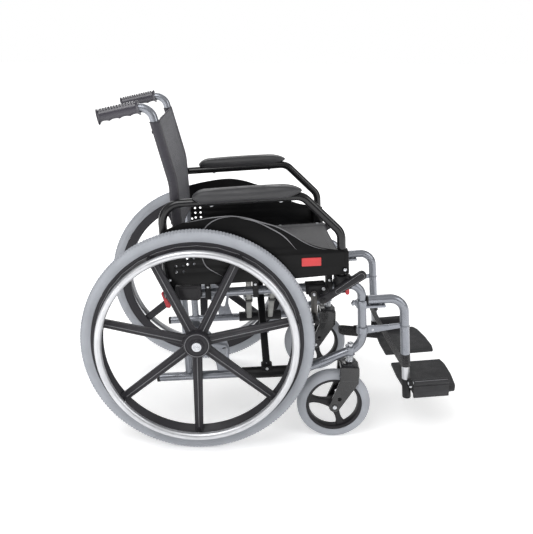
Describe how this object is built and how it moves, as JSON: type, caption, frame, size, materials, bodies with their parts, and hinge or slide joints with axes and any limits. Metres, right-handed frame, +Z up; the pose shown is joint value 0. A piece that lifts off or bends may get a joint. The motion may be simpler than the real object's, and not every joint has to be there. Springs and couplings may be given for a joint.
{
  "type": "manual wheelchair",
  "caption": "Folding self-propelled wheelchair with scissor cross-brace, fabric seat and back, spoked main wheels with hand rims, swivel casters, flip-back armrests and swing-away footrests.",
  "frame": {"origin": "on the ground, under the middle of the bounding box", "axes": "+X forward, +Y to the sitter's left, +Z up"},
  "size_m": [1.0224, 0.6064, 0.9193],
  "materials": {
    "frame_grey": "silver grey metallic lacquer",
    "black_metal": "gloss black lacquer",
    "zinc": "zinc plated",
    "aluminium": "satin anodised",
    "black_plastic": "fine moulded grain",
    "wheel_plastic": "moulded nylon",
    "tyre_grey": "grey solid rubber",
    "grip_rubber": "ribbed",
    "pad": "skinned foam",
    "sling": "black-grey coated weave",
    "webbing": "woven webbing",
    "red": "moulded"
  },
  "bodies": {
    "right_frame": {"right_side_frame": "frame_grey", "right_back_cane": "frame_grey", "right_grip": "grip_rubber", "right_axle": "zinc", "right_front_socket": "black_plastic", "right_rear_housing": "black_plastic", "right_brake_bracket": "black_metal", "backrest_sling": "sling"},
    "right_wheel": {"right_wheel": "wheel_plastic", "right_tyre": "tyre_grey", "right_hand_rim": "aluminium"},
    "right_caster_swivel": {"right_caster_fork": "black_metal", "right_caster_stem": "zinc", "right_caster_axle": "zinc"},
    "right_caster_wheel": {"right_caster_rim": "black_plastic", "right_caster_tyre": "tyre_grey"},
    "right_hanger": {"right_hanger": "frame_grey", "right_calf_strap": "webbing"},
    "right_hanger_latch": {"right_hanger_latch": "frame_grey"},
    "right_foot_tube": {"right_foot_tube": "aluminium"},
    "right_footplate": {"right_footplate": "black_plastic"},
    "right_brake_lever": {"right_brake_lever": "black_plastic"},
    "right_brake_arm": {"right_brake_arm": "black_metal"},
    "right_armrest": {"right_armrest_tube": "black_metal", "right_armrest_pad": "pad", "right_skirt_guard": "black_plastic"},
    "right_front_release": {"right_front_release": "red"},
    "right_rear_release": {"right_rear_release": "red"},
    "left_frame": {"left_side_frame": "frame_grey", "left_back_cane": "frame_grey", "left_grip": "grip_rubber", "left_axle": "zinc", "left_front_socket": "black_plastic", "left_rear_housing": "black_plastic", "left_brake_bracket": "black_metal"},
    "left_wheel": {"left_wheel": "wheel_plastic", "left_tyre": "tyre_grey", "left_hand_rim": "aluminium"},
    "left_caster_swivel": {"left_caster_fork": "black_metal", "left_caster_stem": "zinc", "left_caster_axle": "zinc"},
    "left_caster_wheel": {"left_caster_rim": "black_plastic", "left_caster_tyre": "tyre_grey"},
    "left_hanger": {"left_hanger": "frame_grey", "left_calf_strap": "webbing"},
    "left_hanger_latch": {"left_hanger_latch": "frame_grey"},
    "left_foot_tube": {"left_foot_tube": "aluminium"},
    "left_footplate": {"left_footplate": "black_plastic", "left_heel_loop": "webbing"},
    "left_brake_lever": {"left_brake_lever": "black_plastic"},
    "left_brake_arm": {"left_brake_arm": "black_metal"},
    "left_armrest": {"left_armrest_tube": "black_metal", "left_armrest_pad": "pad", "left_skirt_guard": "black_plastic"},
    "left_front_release": {"left_front_release": "red"},
    "left_rear_release": {"left_rear_release": "red"},
    "brace_a": {"brace_a": "black_metal", "cross_bolt": "zinc"},
    "brace_b": {"brace_b": "frame_grey"},
    "seat": {"seat_sling": "sling"}
  },
  "joints": [
    {"name": "fold", "type": "hinge", "parent": "right_frame", "child": "brace_a", "pos_m": [-0.01116, -0.192, 0.18858], "axis": [0.9971, 0, 0.0767], "range_deg": [0, 34.8], "deforming": ["seat_sling", "backrest_sling", "left_calf_strap", "right_calf_strap", "left_heel_loop"]},
    {"name": "brace_pivot", "type": "hinge", "parent": "brace_a", "child": "brace_b", "pos_m": [-0.0273, 0, 0.33327], "axis": [0.9971, 0, 0.0767], "range_deg": [-70.1, 0]},
    {"name": "left_frame_pivot", "type": "hinge", "parent": "brace_b", "child": "left_frame", "pos_m": [-0.01116, 0.192, 0.18858], "axis": [0.9971, 0, 0.0767], "range_deg": [0, 35.3]},
    {"name": "seat_pivot", "type": "hinge", "parent": "brace_b", "child": "seat", "pos_m": [-0.03348, -0.192, 0.47872], "axis": [0.9971, 0, 0.0767], "range_deg": [0, 35.3]},
    {"name": "right_wheel_spin", "type": "hinge", "parent": "right_frame", "child": "right_wheel", "pos_m": [-0.20566, -0.258, 0.305], "axis": [0, 1, 0], "continuous": true},
    {"name": "right_caster_swivel", "type": "hinge", "parent": "right_frame", "child": "right_caster_swivel", "pos_m": [0.20534, -0.192, 0.25], "axis": [0, 0, 1], "continuous": true},
    {"name": "right_caster_roll", "type": "hinge", "parent": "right_caster_swivel", "child": "right_caster_wheel", "pos_m": [0.16834, -0.192, 0.0996], "axis": [0, 1, 0], "continuous": true},
    {"name": "right_hanger_swing", "type": "hinge", "parent": "right_frame", "child": "right_hanger", "pos_m": [0.23101, -0.192, 0.35866], "axis": [0.0767, 0, -0.9971], "range_deg": [0, 90]},
    {"name": "right_hanger_latch_turn", "type": "hinge", "parent": "right_hanger", "child": "right_hanger_latch", "pos_m": [0.21049, -0.192, 0.3972], "axis": [0.0767, 0, -0.9971], "range_deg": [0, 15], "stiffness_Nm_per_rad": 0.2},
    {"name": "right_footrest_height", "type": "slide", "parent": "right_hanger", "child": "right_foot_tube", "axis": [-0.108, 0, 0.9942], "range_m": [-0.06, 0.03]},
    {"name": "right_footplate_flip", "type": "hinge", "parent": "right_foot_tube", "child": "right_footplate", "pos_m": [0.42195, -0.208, 0.1767], "axis": [0.9942, 0, 0.108], "range_deg": [0, 90.5]},
    {"name": "right_brake_lever_turn", "type": "hinge", "parent": "right_frame", "child": "right_brake_lever", "pos_m": [0.11631, -0.245, 0.42205], "axis": [0, -1, 0], "range_deg": [0, 45]},
    {"name": "right_brake_arm_turn", "type": "hinge", "parent": "right_frame", "child": "right_brake_arm", "pos_m": [0.09618, -0.223, 0.42952], "axis": [0, -1, 0], "range_deg": [0, 12.5]},
    {"name": "right_armrest_flip", "type": "hinge", "parent": "right_frame", "child": "right_armrest", "pos_m": [-0.28106, -0.221, 0.42457], "axis": [0, -1, 0], "range_deg": [0, 110]},
    {"name": "right_front_release_press", "type": "hinge", "parent": "right_frame", "child": "right_front_release", "pos_m": [0.18277, -0.217, 0.43819], "axis": [0, -1, 0], "range_deg": [0, 10], "stiffness_Nm_per_rad": 0.1},
    {"name": "right_rear_release_press", "type": "hinge", "parent": "right_frame", "child": "right_rear_release", "pos_m": [-0.29862, -0.199, 0.4182], "axis": [0, -1, 0], "range_deg": [-15, 0], "stiffness_Nm_per_rad": 0.1},
    {"name": "left_wheel_spin", "type": "hinge", "parent": "left_frame", "child": "left_wheel", "pos_m": [-0.20566, 0.258, 0.305], "axis": [0, 1, 0], "continuous": true},
    {"name": "left_caster_swivel", "type": "hinge", "parent": "left_frame", "child": "left_caster_swivel", "pos_m": [0.20534, 0.192, 0.25], "axis": [0, 0, 1], "continuous": true},
    {"name": "left_caster_roll", "type": "hinge", "parent": "left_caster_swivel", "child": "left_caster_wheel", "pos_m": [0.16834, 0.192, 0.0996], "axis": [0, 1, 0], "continuous": true},
    {"name": "left_hanger_swing", "type": "hinge", "parent": "left_frame", "child": "left_hanger", "pos_m": [0.23101, 0.192, 0.35866], "axis": [-0.0767, 0, 0.9971], "range_deg": [0, 90]},
    {"name": "left_hanger_latch_turn", "type": "hinge", "parent": "left_hanger", "child": "left_hanger_latch", "pos_m": [0.21049, 0.192, 0.3972], "axis": [-0.0767, 0, 0.9971], "range_deg": [0, 15], "stiffness_Nm_per_rad": 0.2},
    {"name": "left_footrest_height", "type": "slide", "parent": "left_hanger", "child": "left_foot_tube", "axis": [-0.108, 0, 0.9942], "range_m": [-0.06, 0.03]},
    {"name": "left_footplate_flip", "type": "hinge", "parent": "left_foot_tube", "child": "left_footplate", "pos_m": [0.42195, 0.208, 0.1767], "axis": [-0.9942, 0, -0.108], "range_deg": [0, 90.5]},
    {"name": "left_brake_lever_turn", "type": "hinge", "parent": "left_frame", "child": "left_brake_lever", "pos_m": [0.11631, 0.245, 0.42205], "axis": [0, -1, 0], "range_deg": [0, 45]},
    {"name": "left_brake_arm_turn", "type": "hinge", "parent": "left_frame", "child": "left_brake_arm", "pos_m": [0.09618, 0.223, 0.42952], "axis": [0, -1, 0], "range_deg": [0, 12.5]},
    {"name": "left_armrest_flip", "type": "hinge", "parent": "left_frame", "child": "left_armrest", "pos_m": [-0.28106, 0.221, 0.42457], "axis": [0, -1, 0], "range_deg": [0, 110]},
    {"name": "left_front_release_press", "type": "hinge", "parent": "left_frame", "child": "left_front_release", "pos_m": [0.18277, 0.217, 0.43819], "axis": [0, -1, 0], "range_deg": [0, 10], "stiffness_Nm_per_rad": 0.1},
    {"name": "left_rear_release_press", "type": "hinge", "parent": "left_frame", "child": "left_rear_release", "pos_m": [-0.29862, 0.199, 0.4182], "axis": [0, -1, 0], "range_deg": [-15, 0], "stiffness_Nm_per_rad": 0.1}
  ],
  "couplings": [
    {"joint": "brace_pivot", "follows": "fold", "ratio": -2},
    {"joint": "left_frame_pivot", "follows": "fold", "ratio": 1},
    {"joint": "seat_pivot", "follows": "fold", "ratio": 1},
    {"joint": "right_footplate_flip", "follows": "fold", "ratio": 2.5805},
    {"joint": "right_brake_arm_turn", "follows": "right_brake_lever_turn", "ratio": 0.2667},
    {"joint": "left_footplate_flip", "follows": "fold", "ratio": 2.5805},
    {"joint": "left_brake_arm_turn", "follows": "left_brake_lever_turn", "ratio": 0.2667}
  ]
}
